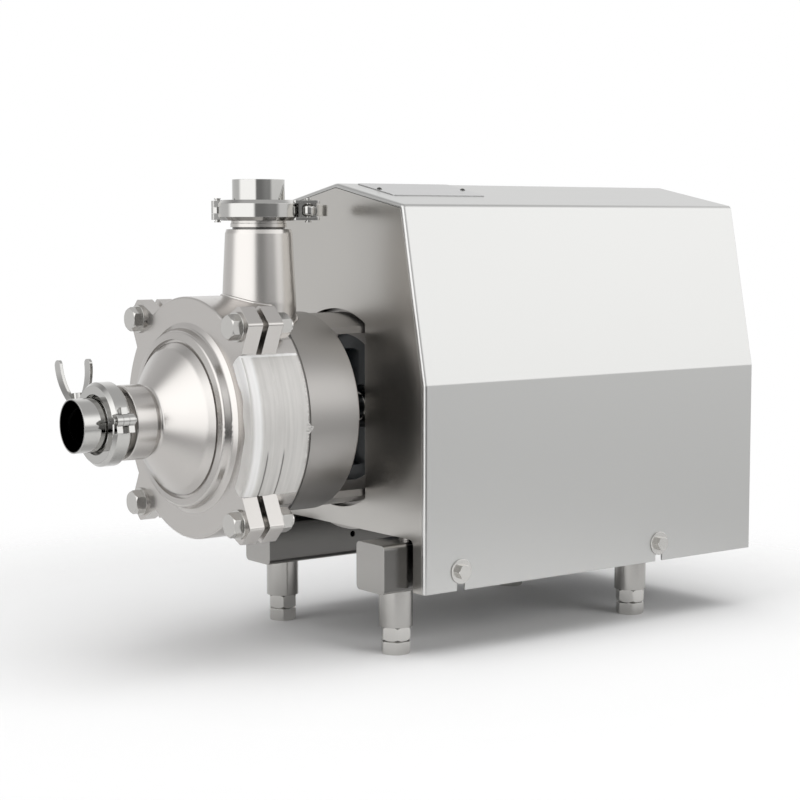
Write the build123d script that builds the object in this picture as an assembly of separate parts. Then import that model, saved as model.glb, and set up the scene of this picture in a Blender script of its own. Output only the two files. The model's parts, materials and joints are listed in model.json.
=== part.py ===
from build123d import *
from math import cos, radians, sin, sqrt, tan
import os

# Stainless sanitary centrifugal pump with a motor under a sheet hood.
# Millimetres. While it is built, X = 0 is the front face of the front panel,
# +X runs from the suction port towards the motor, -Y is the near side, Z = 0 is the floor.
# The export moves everything along X so that the origin is the middle of the footprint.

# Pump axis and the main stations along it
axis_z = 235.0
suction_joint_x = -265.3        # plane where the two suction ferrules meet
cover_face_x = -175.0           # front face of the cover flange
cover_joint_x = -156.0          # plane where cover and casing meet
casing_step_x = -108.0          # where the casing steps down to the rear chamber
casing_rear_x = -41.0           # rear wall of the casing
motor_face_x = 22.0             # mounting face of the motor flange

# Hood and front panel
sheet = 2.0
hood_length = 454.0
hood_half_width = 147.5
hood_bottom_z = 64.0
side_top_z = 267.0
roof_edge_half = 112.5
roof_edge_z = 440.0
ridge_z = 462.0
bend_radius = 5.0
ridge_radius = 16.0
panel_gap = 0.5
hem_length = 14.0
hood_edge_r = 3.0
notch_half = 129.0
notch_corner = 6.0
lip_depth = 26.0
lip_width = 34.0
pad_lift = 3.5
pad_r = 9.0
m6_r = 3.0
screw_head_r = 5.0
screw_head = 4.0
air_slot = (58.0, 8.0)          # length and width of one slot in the rear wall
air_pitch = (72.0, 18.0)
air_rows = (3, 9)

# Base rails and levelling feet
rail_width = 46.0
rail_height = 48.0
rail_wall = 3.0
rail_corner = 5.0
rail_inner_y = 78.0
rail_front_x = -31.0
foot_spacing = 318.0
rail_rear_overhang = 31.0
drain_x = 76.0
drain_z = 87.0
drain_r = 3.2
cross_plate = 64.0              # length of a mounting plate along the rails
cross_plate_inset = 2.0
cross_plate_corner = 6.0
sleeve_r = 16.85
sleeve_wall = 2.6
sleeve_bottom_z = 27.5
sleeve_plug = 12.0
spindle_r = 9.0
spindle_length = 47.0
foot_across_flats = 27.0
pad_height = 12.5
nut_gap = 1.0
running_gap = 0.05
cutter = 60.0                   # length of a tool that cuts right through a piece
hexagon_chamfer = 0.9           # share of the corner that the chamfer takes
spindle_chamfer = 1.5

# Hood fixing
hood_bolt_x = (45.0, 315.0)
hood_bolt_z = 83.0
m8_r = 4.0
m8_flats = 13.0
m8_head = 5.3
hood_washer_r = 12.5
hood_washer_t = 1.6
hood_slot = 10.0
boss_r = 10.0
hood_gap = 0.1
hood_bolt_grip = 14.0

# Nameplate
plate_length = 117.0
plate_width = 64.0
plate_thickness = 0.8
plate_corner = 3.0
plate_x = 82.5
plate_y = -35.0
rivet_r = 3.2
rivet_rise = 1.6
rivet_inset = 5.0

# Casing and cover
rim_r = 117.0
rim_wall = 12.0
bore_r = 23.9
rear_chamber_r = 99.0
chamber_wall = 4.0
lug_gap = 6.0
lug_thickness = 16.0
lug_root = 14.0                 # how far a lug starts inside the rim
lug_root_half = 27.0
lug_tip_half = 12.0
lug_tip_reach = 16.0            # from the bolt's centre to the lug's end
lug_corner = 3.5
bolt_outside_rim = 12.8
m14_r = 7.0
m14_flats = 21.0
m14_head = 8.8
m14_nut = 12.8
m14_washer_r = 14.0
m14_washer_t = 2.5
bolt_clearance = 0.5
seal_ring_inset = 8.0
seal_ring_section = 2.1
groove_side = 0.6
hub_r = 39.7
seal_bore_r = 32.0
neck_r = 35.6
neck_start = 15.3
neck_width = 23.0
neck_end_run = 4.0
neck_end_step = 4.6
cone_outside = [(-194.0, 68.0), (-187.5, 73.5), (-184.5, 73.5), (-184.5, 76.5), (-187.5, 76.5),
                (-186.0, 84.5), (-178.0, 87.0)]
cone_inside = [(-170.0, 84.0), (-178.5, 79.0), (-180.5, 70.0), (-187.0, 63.0), (-221.0, 27.0)]
cover_rounds = [(4, 1.5), (5, 4), (6, 3), (7, 12), (12, 3), (13, 4), (15, 2)]
raised_ring_r = 92.0
cover_mouth_x = -169.0
bore_end_x = -226.0

# Ferrules, stubs and clamps
ferrule_r = 32.0
ferrule_lip = 5.2
ferrule_rim = 2.0
ferrule_slope = 20.0
gasket = 2.0
stub_r = 25.5
suction_stub = 31.7
discharge_stub = 28.7
clamp_section = 7.5             # from the ferrule's edge to the ring's outside
clamp_half_width = 10.0
clamp_chamfer = (3.0, 3.5)
clamp_gap = 0.05
clamp_inner_gap = 1.7
groove_floor_gap = 1.0
split_gap = 0.5
hinge_half = 9.2
hinge_offset = 8.0
knuckle_r = 6.0
knuckle_half = 3.0
hinge_slot = 3.2
pin_r = 2.5
pin_head = (0.8, 1.2)           # how much wider and how high
swing_pin_offset = 16.5
swing_pin_y = -6.0
fork_thickness = 2.9
fork_slot_half = 6.7
fork_plate = (27.0, 13.0)
fork_middle_y = -7.6
fork_web = (3.5, 6.8)
ear_length = 21.0
ear_width = 19.0
eye_r = 6.0
eye_round = 3.5
seat_r = 24.0
bolt_reach = 14.0
nut_height = 16.0
nut_rim = 5.0
nut_seat_r = 8.0
nut_top_r = 6.2
wing_thickness = 3.0
wing_half_depth = 5.5
wing_half_span = 15.5
suction_wing_height = 48.5
discharge_wing_height = 34.0
suction_clamp_turn = -10.0
discharge_clamp_turn = -37.0

# Discharge pipe
discharge_x = -98.5
discharge_y = -10.0
discharge_rise = 199.3          # from the pump axis to the joint
pipe_base_r = 36.2
pipe_base_rise = 110.0
pipe_top_r = 32.8
pipe_top_drop = 22.3            # from the joint down to the shoulder
pipe_shoulder = 4.0
pipe_collar_r = 27.4
pipe_groove_r = 25.6
pipe_groove = 2.0
pipe_neck = 11.5
pipe_wall = 4.0
pipe_start = 60.0
pipe_bend = 60.0

# Impeller, shaft and seal
impeller_r = 88.0
impeller_back_x = -123.0
impeller_hub_x = -160.0
vane_count = 6
vane_thickness = 4.0
shroud = 4.0
impeller_bore_r = 12.5
impeller_hub_outline = [(34, 0), (20, 16)]
impeller_edge_depth = 24.0
vane_middle = (58, 24)
vane_sweep = 52.0
nose_r = 8.0
nose_length = 13.0
nose_nut = [(19, 0), (19, 6), (0, 26), (0, 14)]
seal_shaft_r = 16.0
seal_clearance = 1.5
seal_depth = 25.0
seat_length = 10.0
seat_step = 6.0
seal_ring_outer_r = 25.0
seal_ring_length = 9.0
bellows_r = (21.0, 26.0)
bellows_pitch = 6.0
bellows_folds = 3
sleeve_outer_r = 22.0
sleeve_slope = (-34.0, -30.0)
sleeve_end_x = 12.0
motor_shaft_r = 14.0
motor_shaft_x = -28.0
back_plate_x = -120.0
back_plate_gap = 0.3

# Lantern between casing and motor
bridge_r = 97.0
bridge_half = 47.0
bridge_thickness = 6.0
bridge_pad = 10.0
bridge_pad_r = 68.0
lantern_flange_x = 10.0
lantern_bore_r = 75.0
lantern_screw_y = 24.0
lantern_screw_z = 80.0
lantern_screw = 16.0
socket_head = (6.5, 8.0)
socket = (3.0, 4.0)             # half width across flats and depth
opening_r = 101.0
opening_half = 50.0

# Flanged foot-mounted motor
shaft_height = 112.0
motor_flange_r = 125.0
motor_flange = 14.0
motor_spigot_r = 90.0
motor_spigot = 4.0
flange_bolt_r = 107.5
m12_r = 6.0
m12_flats = 18.0
m12_head = 7.5
frame_front_x = 60.0
frame_rear_x = 250.0
frame_r = 91.0
frame_wall = 12.0
fin_r = 108.0
fin_count = 36
fin_thickness = 3.0
fin_end = 6.0
fin_angles = (40.0, 148.0)      # fins stand between these angles, counted from the bottom
foot_hole_y = 95.0
foot_hole_x = (92.0, 232.0)
foot_thickness = 13.0
foot_half = 18.0
m10_r = 5.0
m10_flats = 16.0
m10_head = 6.4
bearing_r = 31.0
bearing_bore_r = 15.0
bearing_width = 16.0
shaft_step_r = 20.0
shaft_end_r = 12.0
shaft_end_x = 300.0
shield_clearance = 2.0
shield_dish = 10.0
rear_shield_x = 268.0
rear_shield_r = 60.0
stator_outline = [(72, 52), (72, 70), (88, 70), (88, 79), (222, 79), (222, 70), (238, 70), (238, 52),
                  (222, 52), (222, 46), (88, 46), (88, 52)]
rotor_outline = [(86, 20), (86, 36), (88, 45.5), (222, 45.5), (224, 36), (224, 20)]
motor_foot = [(118, 0), (118, 13), (96, 13), (78, 66), (50, 36), (62, 0)]
foot_spot_r = 12.0
fan_x = 276.0
fan_r = 90.0
fan_hub = (22.0, 22.0)
fan_disc = 3.0
fan_blades = 8
fan_blade = (20.0, 2.5)
cowl_r = 106.0
cowl_rear_x = 338.0
cowl_wall = 1.5
cowl_bend = 10.0
cowl_slot = (56.0, 7.0)
cowl_slots = 18
cowl_slot_r = 58.0
cowl_spacer = (6.0, 12.0)
box_half = 48.0
box_x = (104.0, 204.0)
box_seat_rise = 17.0
box_rise = 161.0                # from the pump axis to the box's top
box_wall = 5.0
box_corner = 8.0
lid_thickness = 5.0
lid_chamfer = 1.5
gland_r = 12.5
gland_bore_r = 7.0
gland_flats = 30.0
gland_cap = [(0, 0), (13, 0), (13, 10), (9, 16), (0, 16)]

# Values worked out from the ones above
rail_top_z = hood_bottom_z + rail_height
rail_y = rail_inner_y + rail_width / 2
rail_outer_y = rail_inner_y + rail_width
rail_rear_x = foot_spacing + rail_rear_overhang
foot_x = (0.0, foot_spacing)
notch_z = rail_top_z + pad_lift
nut_bottom_z = pad_height + nut_gap
plate_top_z = axis_z - shaft_height
chamber_r = rim_r - rim_wall
seal_ring_r = rim_r - seal_ring_inset
bolt_circle_r = rim_r + bolt_outside_rim
bolt_half_spacing = bolt_circle_r / sqrt(2)
wall_x = casing_rear_x - 2 * chamber_wall
seal_housing_x = casing_rear_x + 3.0
seat_x = seal_housing_x - seal_depth
discharge_joint_z = axis_z + discharge_rise
box_seat_z = axis_z + frame_r + box_seat_rise
box_top_z = axis_z + box_rise
box_middle = (box_x[0] + box_x[1]) / 2
ferrule_neck_r = ferrule_r - ferrule_lip
clamp_r = ferrule_r + clamp_section
hinge_r = ferrule_r + hinge_offset
swing_pin_x = ferrule_r + swing_pin_offset
ferrule_rise = (ferrule_r - ferrule_neck_r) * tan(radians(ferrule_slope))
origin_shift = -(suction_joint_x - gasket / 2 - suction_stub + hood_length) / 2
axis_place = Pos(0, 0, axis_z)


def along_x(shape):
    """Turn a shape built along +Z so that it runs along +X."""
    return Rot(0, 90, 0) * shape


def ring(outer, inner, height):
    """A flat ring from z = 0 up to its height."""
    base = (Align.CENTER, Align.CENTER, Align.MIN)
    return Cylinder(outer, height, align=base) - Cylinder(inner, height, align=base)


def rod(radius, height):
    return Cylinder(radius, height, align=(Align.CENTER, Align.CENTER, Align.MIN))


def turned(points, rounds=()):
    """A solid of revolution about Z from (radius, height) points; rounds are (corner, radius)."""
    face = make_face(Polyline(*points, close=True))
    for corner, radius in rounds:
        nearest = face.vertices().sort_by_distance(Vector(*points[corner]))[0]
        face = fillet(nearest, radius)
    return revolve(Plane.XZ * face, Axis.Z)


def turned_x(stations, rounds=()):
    """A solid of revolution about the pump axis from (x, radius) points."""
    solid = turned([(radius, x) for x, radius in stations], rounds)
    return axis_place * along_x(solid)


def hexagon(flats, height):
    """A hexagon prism whose top corners are chamfered by a cone."""
    prism = extrude(RegularPolygon(flats / 2, 6, major_radius=False), height)
    corner = flats / sqrt(3)
    top = rod(corner, height).faces().sort_by(Axis.Z)[-1].edges()
    cap = chamfer(top, (corner - flats / 2) * hexagon_chamfer)
    return prism & cap


def bolt(shank_r, length, flats, head):
    """A hexagon bolt: head above z = 0, shank below it."""
    return hexagon(flats, head) + Pos(0, 0, -length) * rod(shank_r, length)


def four_corners(spacing):
    return [(y, z) for y in (-spacing, spacing) for z in (-spacing, spacing)]


def foot_points():
    return [(x, y) for x in foot_x for y in (-rail_y, rail_y)]


# Base

def side_rails():
    """Two closed box rails with a drain hole in each inner wall."""
    length = rail_rear_x - rail_front_x
    section = RectangleRounded(rail_width, rail_height, rail_corner)
    inside = RectangleRounded(rail_width - 2 * rail_wall, rail_height - 2 * rail_wall,
                              rail_corner - rail_wall)
    tube = extrude(section, length) - Pos(0, 0, rail_wall) * extrude(inside, length - 2 * rail_wall)
    rails = []
    for side in (-1, 1):
        rail = Pos(rail_front_x, side * rail_y, rail_top_z - rail_height / 2) * along_x(
            Rot(0, 0, 90) * tube)
        drain = Pos(drain_x, side * rail_inner_y, drain_z) * Rot(90, 0, 0) * Cylinder(
            drain_r, rail_width)
        holes = [Pos(x, side * foot_hole_y, rail_top_z) * Cylinder(m10_r, 3 * rail_wall)
                 for x in foot_hole_x]
        x = panel_screw_points()[0][0]
        pad = Pos(x, side * rail_y, rail_top_z) * ring(pad_r, m6_r, pad_lift)
        rails.append(rail - drain - holes + pad)
    return rails


def foot_sleeves():
    """Four round tubes under the rails, closed below by a threaded plug."""
    height = hood_bottom_z - sleeve_bottom_z
    tube = ring(sleeve_r, sleeve_r - sleeve_wall, height)
    plug = ring(sleeve_r - sleeve_wall, spindle_r + running_gap, sleeve_plug)
    return [Pos(x, y, sleeve_bottom_z) * (tube + plug) for x, y in foot_points()]


def hood_bosses():
    """Four threaded bosses on the rails' outer walls that carry the hood bolts."""
    length = hood_half_width - sheet - hood_gap - rail_outer_y
    boss = ring(boss_r, m8_r, length)
    return [Pos(x, side * rail_outer_y, hood_bolt_z) * Rot(-90 * side, 0, 0) * boss
            for x in hood_bolt_x for side in (-1, 1)]


def mounting_plates():
    """Two cross plates that tie the rails and set the motor's height."""
    plates = []
    for x in foot_hole_x:
        plate = Pos(x, 0, (rail_top_z + plate_top_z) / 2) * Box(
            cross_plate, 2 * (rail_outer_y - cross_plate_inset), plate_top_z - rail_top_z)
        plate = fillet(plate.edges().filter_by(Axis.Z), cross_plate_corner)
        hole = Cylinder(m10_r + bolt_clearance, 2 * plate_top_z)
        holes = [Pos(x, side * foot_hole_y, rail_top_z) * hole for side in (-1, 1)]
        plates.append(plate - holes)
    return plates


def foot_spindle(x, y):
    """A levelling foot: hexagon pad with a threaded spindle that screws into its sleeve."""
    pad = Pos(x, y, pad_height) * Rot(180, 0, 0) * hexagon(foot_across_flats, pad_height)
    tip = chamfer(rod(spindle_r, spindle_length).faces().sort_by(Axis.Z)[-1].edges(), spindle_chamfer)
    return pad + Pos(x, y, pad_height) * tip


def foot_lock_nuts():
    height = sleeve_bottom_z - nut_bottom_z
    nut = hexagon(foot_across_flats, height) & Pos(0, 0, height) * Rot(180, 0, 0) * hexagon(
        foot_across_flats, height)
    nut -= Cylinder(spindle_r + running_gap, 3 * height)
    return [Pos(x, y, nut_bottom_z) * nut for x, y in foot_points()]


# Hood and front panel

def hood_face(inset):
    """The hood's cross-section, drawn in from its outside by the inset."""
    low = hood_bottom_z - inset
    points = [(-hood_half_width, low), (-hood_half_width, side_top_z), (-roof_edge_half, roof_edge_z),
              (0, ridge_z), (roof_edge_half, roof_edge_z), (hood_half_width, side_top_z),
              (hood_half_width, low)]
    face = make_face(Polyline(*points, close=True))
    if inset:
        face = offset(face, -inset, kind=Kind.INTERSECTION)
    corners = [corner for corner in face.vertices() if corner.Y > side_top_z - 5 * bend_radius]
    ridge = max(corners, key=lambda corner: corner.Y)
    bends = [corner for corner in corners if corner is not ridge]
    face = fillet(bends, bend_radius - min(inset, sheet))
    ridge = face.vertices().sort_by_distance(Vector(0, ridge_z))[0]
    return fillet(ridge, ridge_radius - min(inset, sheet))


def hood_slab(inset, start, thickness):
    return Pos(start, 0, 0) * extrude(Plane.YZ * hood_face(inset), thickness)


def hood():
    """One folded sheet: two sides, two steep slopes and a gable roof, with a rounded front hem."""
    block = hood_slab(0, 0, hood_length)
    front = block.faces().sort_by(Axis.X)[0].edges()
    block = fillet([edge for edge in front if edge.center().Z > hood_bottom_z + sheet], hood_edge_r)
    shell = block - hood_slab(2 * sheet, -1, hem_length + 1) - hood_slab(sheet, hem_length, hood_length)
    reach = hood_bolt_z - hood_bottom_z + sheet
    slot = Pos(0, 0, hood_bolt_z) * Rot(90, 0, 0) * Cylinder(hood_slot / 2, 3 * hood_half_width)
    slot += Pos(0, 0, hood_bolt_z - reach / 2) * Box(hood_slot, 3 * hood_half_width, reach)
    return shell - [Pos(x, 0, 0) * slot for x in hood_bolt_x]


def rear_panel():
    """The hood's rear wall with rows of rounded air slots behind the fan."""
    panel = hood_slab(sheet, hood_length - sheet, sheet)
    air = Plane.YZ * (Sketch() + [spot * SlotOverall(*air_slot)
                                  for spot in GridLocations(*air_pitch, *air_rows)])
    return panel - Pos(hood_length - 2 * sheet, 0, axis_z) * extrude(air, 3 * sheet)


def front_panel():
    """Fixed front wall: a hole for the lantern's bridges, a notch over the rails, two rear lips."""
    panel = hood_slab(2 * sheet + panel_gap, 0, sheet)
    panel -= Pos(-1, 0, axis_z) * along_x(rod(opening_r, 3 * sheet)) & Pos(0, 0, axis_z) * Box(
        cutter, 2 * opening_half, 3 * opening_r)
    notch = Pos(0, 0, notch_z - cutter) * Box(cutter, 2 * notch_half, 2 * cutter)
    notch = fillet(notch.edges().filter_by(Axis.X).group_by(Axis.Z)[-1], notch_corner)
    lip = [Pos(lip_depth / 2, side * rail_y, notch_z + sheet / 2) * Box(lip_depth, lip_width, sheet)
           for side in (-1, 1)]
    holes = [Pos(x, y, notch_z) * Cylinder(m6_r, cutter) for x, y in panel_screw_points()]
    return panel - notch + lip - holes


def panel_screw_points():
    return [(lip_depth / 2 + sheet, side * rail_y) for side in (-1, 1)]


def panel_screws():
    """Two cap screws through the front panel's lip into the pads on the rails."""
    screw = rod(screw_head_r, screw_head) + Pos(0, 0, -sheet - pad_lift) * rod(m6_r, sheet + pad_lift)
    return [Pos(x, y, notch_z + sheet) * screw for x, y in panel_screw_points()]


def roof_place(x, y, lift):
    """A place on the near half of the roof, with local Z along its outward normal."""
    slope = (ridge_z - roof_edge_z) / roof_edge_half
    normal = Vector(0, -slope, 1).normalized()
    point = Vector(x, y, ridge_z + slope * y) + normal * lift
    return Plane(origin=point, x_dir=(1, 0, 0), z_dir=normal).location


def nameplate():
    """A bare plate riveted to the near side of the roof."""
    blank = extrude(RectangleRounded(plate_length, plate_width, plate_corner), plate_thickness)
    return roof_place(plate_x, plate_y, running_gap / 2) * blank


def nameplate_rivets():
    head = Pos(0, 0, rivet_rise - rivet_r) * Sphere(rivet_r) & Pos(0, 0, rivet_r) * Box(
        4 * rivet_r, 4 * rivet_r, 2 * rivet_r)
    return [roof_place(plate_x + side * (plate_length / 2 - rivet_inset), plate_y,
                       plate_thickness + running_gap) * head for side in (-1, 1)]


def hood_bolt_places(out):
    return [Pos(x, side * (hood_half_width + out), hood_bolt_z) * Rot(-90 * side, 0, 0)
            for x in hood_bolt_x for side in (-1, 1)]


def hood_bolts():
    shank = hood_washer_t + hood_gap + sheet + hood_bolt_grip
    return [place * bolt(m8_r, shank, m8_flats, m8_head)
            for place in hood_bolt_places(hood_gap + hood_washer_t)]


def hood_washers():
    washer = ring(hood_washer_r, m8_r, hood_washer_t)
    washer = chamfer(washer.faces().sort_by(Axis.Z)[-1].edges().sort_by(Edge.length)[-1:], 0.4)
    return [place * washer for place in hood_bolt_places(hood_gap)]


# Cover and casing

def ferrule_points(neck_end):
    """Outline of a ferrule from its sealing face at 0 to the end of its neck, as (axial, radius)."""
    return [(0, ferrule_r), (ferrule_rim, ferrule_r), (ferrule_rim + ferrule_rise, ferrule_neck_r),
            (neck_end, ferrule_neck_r)]


def lug(thickness):
    """One bolt lug in the YZ plane at 45 degrees, tapered outwards, as a solid from x = 0."""
    root = rim_r - lug_root
    tip = bolt_circle_r + lug_tip_reach
    face = make_face(Polyline((root, -lug_root_half), (tip, -lug_tip_half), (tip, lug_tip_half),
                              (root, lug_root_half), close=True))
    face = fillet(face.vertices().group_by(Axis.X)[-1], lug_corner)
    return extrude(Plane.YZ * face, thickness)


def lugs(start):
    """Four lugs at the corners, bored for the cover bolts."""
    holes = [Pos(start - 1, y, axis_z + z) * along_x(rod(m14_r + bolt_clearance, lug_thickness + 2))
             for y, z in four_corners(bolt_half_spacing)]
    blanks = [Pos(start, 0, axis_z) * Rot(angle, 0, 0) * lug(lug_thickness)
              for angle in (45, 135, 225, 315)]
    return blanks, holes


def cover():
    """The suction cover: ferrule, neck ring, cone, groove, raised ring and bolted rim."""
    face = suction_joint_x + gasket / 2
    outside = [(face + x, r) for x, r in ferrule_points(neck_start)]
    neck_x = face + neck_start
    neck_end = neck_x + neck_width
    outside += [(neck_x, neck_r), (neck_end, neck_r), (neck_end + neck_end_run, neck_r - neck_end_step)]
    outside += cone_outside + [(cover_face_x, raised_ring_r), (cover_face_x, rim_r), (cover_joint_x, rim_r)]
    inside = [(cover_joint_x, chamber_r - 1), (cover_mouth_x, chamber_r - 1)]
    inside += cone_inside + [(bore_end_x, bore_r), (face, bore_r)]
    body = turned_x(outside + inside, cover_rounds)
    blanks, holes = lugs(cover_face_x)
    groove = along_x(ring(seal_ring_r + seal_ring_section + groove_side,
                          seal_ring_r - seal_ring_section - groove_side, 2 * seal_ring_section))
    groove = Pos(cover_joint_x - 2 * seal_ring_section, 0, axis_z) * groove
    chamber = axis_place * Pos(cover_mouth_x, 0, 0) * along_x(rod(chamber_r - 2, 2 * rim_wall))
    return body + [blank - chamber for blank in blanks] - holes - groove


def cover_seal_ring():
    ring_place = Pos(cover_joint_x - seal_ring_section, 0, axis_z)
    return ring_place * along_x(Torus(seal_ring_r, seal_ring_section))


def discharge_place():
    return Pos(discharge_x, discharge_y, 0)


def discharge_pipe():
    """Outside of the tapered discharge branch up to its ferrule face."""
    face = discharge_joint_z - gasket / 2
    ferrule = [(r, face - x) for x, r in ferrule_points(pipe_neck)]
    start = axis_z + pipe_start
    top = discharge_joint_z - pipe_top_drop
    shoulder = top + pipe_shoulder
    groove = shoulder + pipe_groove
    points = [(0, start), (pipe_base_r, start), (pipe_base_r, axis_z + pipe_base_rise), (pipe_top_r, top),
              (pipe_collar_r + pipe_shoulder, shoulder), (pipe_groove_r, shoulder), (pipe_groove_r, groove),
              (pipe_collar_r, groove), (pipe_collar_r, face - pipe_neck)]
    return discharge_place() * turned(points + ferrule[::-1] + [(0, face)], [(2, pipe_bend)])


def discharge_bore():
    face = discharge_joint_z - gasket / 2
    start = axis_z + pipe_start
    wide = pipe_base_r - pipe_wall
    points = [(0, start), (wide, start), (wide, axis_z + pipe_base_rise + pipe_wall),
              (bore_r, discharge_joint_z - pipe_top_drop - pipe_wall), (bore_r, face + 1), (0, face + 1)]
    return discharge_place() * turned(points)


def casing():
    """Pump casing: bolted rim, wide front chamber, narrower rear chamber and discharge branch."""
    front = casing_step_x - 6
    outside = [(cover_joint_x, 0), (cover_joint_x, rim_r), (casing_step_x, rim_r),
               (casing_step_x, rear_chamber_r), (casing_rear_x, rear_chamber_r), (casing_rear_x, 0)]
    inside = [(cover_joint_x - 1, 0), (cover_joint_x - 1, chamber_r), (front, chamber_r),
              (front, rear_chamber_r - chamber_wall), (wall_x, rear_chamber_r - chamber_wall),
              (wall_x, 0)]
    body = turned_x(outside, [(2, 5), (4, 2)]) + discharge_pipe()
    blanks, holes = lugs(cover_joint_x + lug_gap / 2)
    body += blanks
    body -= turned_x(inside) + discharge_bore()
    body -= axis_place * Pos(wall_x - 1, 0, 0) * along_x(rod(hub_r + back_plate_gap, cutter))
    body -= [Pos(casing_lug_rear(), y, axis_z + z) * along_x(rod(m14_washer_r + bolt_clearance, cutter))
             for y, z in four_corners(bolt_half_spacing)]
    screw_holes = [place * rod(m8_r, cutter) for place in lantern_screw_places(wall_x - 1)]
    return body - holes - screw_holes


def back_plate():
    """Plate behind the impeller with the seal housing that reaches the casing's rear wall."""
    step = casing_step_x - 6
    edge = chamber_r - back_plate_gap
    inner = seal_shaft_r + seal_clearance
    points = [(back_plate_x, seal_bore_r), (back_plate_x, edge), (step, edge), (step, hub_r + 8),
              (casing_step_x + 2, hub_r), (seal_housing_x, hub_r), (seal_housing_x, inner),
              (seat_x, inner), (seat_x, seal_bore_r)]
    return turned_x(points)


def cover_bolt_places(x):
    return [Pos(x, y, axis_z + z) * Rot(0, -90, 0) for y, z in four_corners(bolt_half_spacing)]


def cover_bolts():
    grip = 2 * lug_thickness + (cover_joint_x - cover_face_x - lug_thickness) + lug_gap / 2
    length = grip + 2 * m14_washer_t + m14_nut + 4
    return [place * bolt(m14_r, length, m14_flats, m14_head)
            for place in cover_bolt_places(cover_face_x - m14_washer_t)]


def casing_lug_rear():
    return cover_joint_x + lug_gap / 2 + lug_thickness


def cover_washers():
    washer = ring(m14_washer_r, m14_r, m14_washer_t)
    front = [place * washer for place in cover_bolt_places(cover_face_x)]
    rear = [place * washer for place in cover_bolt_places(casing_lug_rear() + m14_washer_t)]
    return front + rear


def cover_nuts():
    nut = hexagon(m14_flats, m14_nut) & Pos(0, 0, m14_nut) * Rot(180, 0, 0) * hexagon(m14_flats, m14_nut)
    nut -= Cylinder(m14_r, 3 * m14_nut)
    x = casing_lug_rear() + m14_washer_t + m14_nut
    return [place * nut for place in cover_bolt_places(x)]


# Ferrules and clamps

def stub(length):
    """A ferrule with a short weld stub, from its sealing face at z = 0 upwards."""
    points = [(r, x) for x, r in ferrule_points(ferrule_rim + ferrule_rise + 2)]
    points += [(stub_r, ferrule_rim + ferrule_rise + 4), (stub_r, length), (bore_r, length), (bore_r, 0)]
    return turned(points, [(3, 2)])


def suction_frame():
    """Clamp frame at the suction joint: local Z along the pipe, local Y towards the wing nut."""
    return Pos(suction_joint_x, 0, axis_z) * Rot(suction_clamp_turn, 0, 0) * Plane.YZ.location


def discharge_frame():
    return Pos(discharge_x, discharge_y, discharge_joint_z) * Rot(0, 0, discharge_clamp_turn)


def port_gasket():
    return Pos(0, 0, -gasket / 2) * ring(ferrule_r - 0.5, bore_r, gasket)


def clamp_ring(side):
    """Half of the clamp ring on one side (-1 or 1) of its split, grooved to grip both ferrules."""
    slope = tan(radians(ferrule_slope))
    rim = gasket / 2 + ferrule_rim
    inner = ferrule_neck_r + clamp_inner_gap
    deep = ferrule_r + groove_floor_gap
    wide = rim + (ferrule_r - inner) * slope + clamp_gap
    narrow = rim + (ferrule_r - deep) * slope + clamp_gap
    half = clamp_half_width
    in_by, down_by = clamp_chamfer
    points = [(inner, half), (inner, wide), (deep, narrow), (deep, -narrow), (inner, -wide),
              (inner, -half), (clamp_r - in_by, -half), (clamp_r, -half + down_by),
              (clamp_r, half - down_by), (clamp_r - in_by, half)]
    body = turned(points)
    return body & Pos(0, side * (split_gap + clamp_r), 0) * Box(3 * clamp_r, 2 * clamp_r, 3 * clamp_r)


def knuckle(low, high, side):
    """A hinge knuckle round the hinge pin with an arm into the ring."""
    barrel = Pos(-hinge_r, 0, low) * rod(knuckle_r, high - low)
    arm = Pos(-hinge_r + 3, side * knuckle_r, (low + high) / 2) * Box(
        2 * knuckle_r - 1, 2 * knuckle_r, high - low)
    return barrel + arm


def hinge_clearance(low, high):
    """Room for the other half's knuckle."""
    return Pos(-hinge_r, 0, low) * rod(knuckle_r + split_gap, high - low)


def lower_half():
    """The clamp half with the outer hinge knuckles and the fork of the swing bolt."""
    body = clamp_ring(-1) - hinge_clearance(-hinge_slot, hinge_slot)
    for low, high in ((-hinge_half, -hinge_slot), (hinge_slot, hinge_half)):
        body += knuckle(low, high, -1)
    for side in (-1, 1):
        middle = side * (fork_slot_half + fork_thickness / 2)
        plate = Pos(swing_pin_x - 2, fork_middle_y, middle) * Box(*fork_plate, fork_thickness)
        body += fillet(plate.edges().filter_by(Axis.Z), 4)
    width, height = fork_web
    body += Pos(ferrule_r + 4.5, -split_gap - height / 2, 0) * Box(
        width, height, 2 * (fork_slot_half + fork_thickness))
    window = Pos(-hinge_r - knuckle_r / 2, -knuckle_r, 0) * Box(3 * knuckle_r - 3, 2 * knuckle_r,
                                                                2 * hinge_slot)
    pin_holes = [Pos(-hinge_r, 0, 0) * Cylinder(pin_r, cutter), swing_pin() * Cylinder(pin_r, cutter)]
    bore = Cylinder(ferrule_neck_r + clamp_inner_gap, cutter) + Cylinder(ferrule_r + split_gap, gasket)
    return body - window - pin_holes - bore


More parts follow.
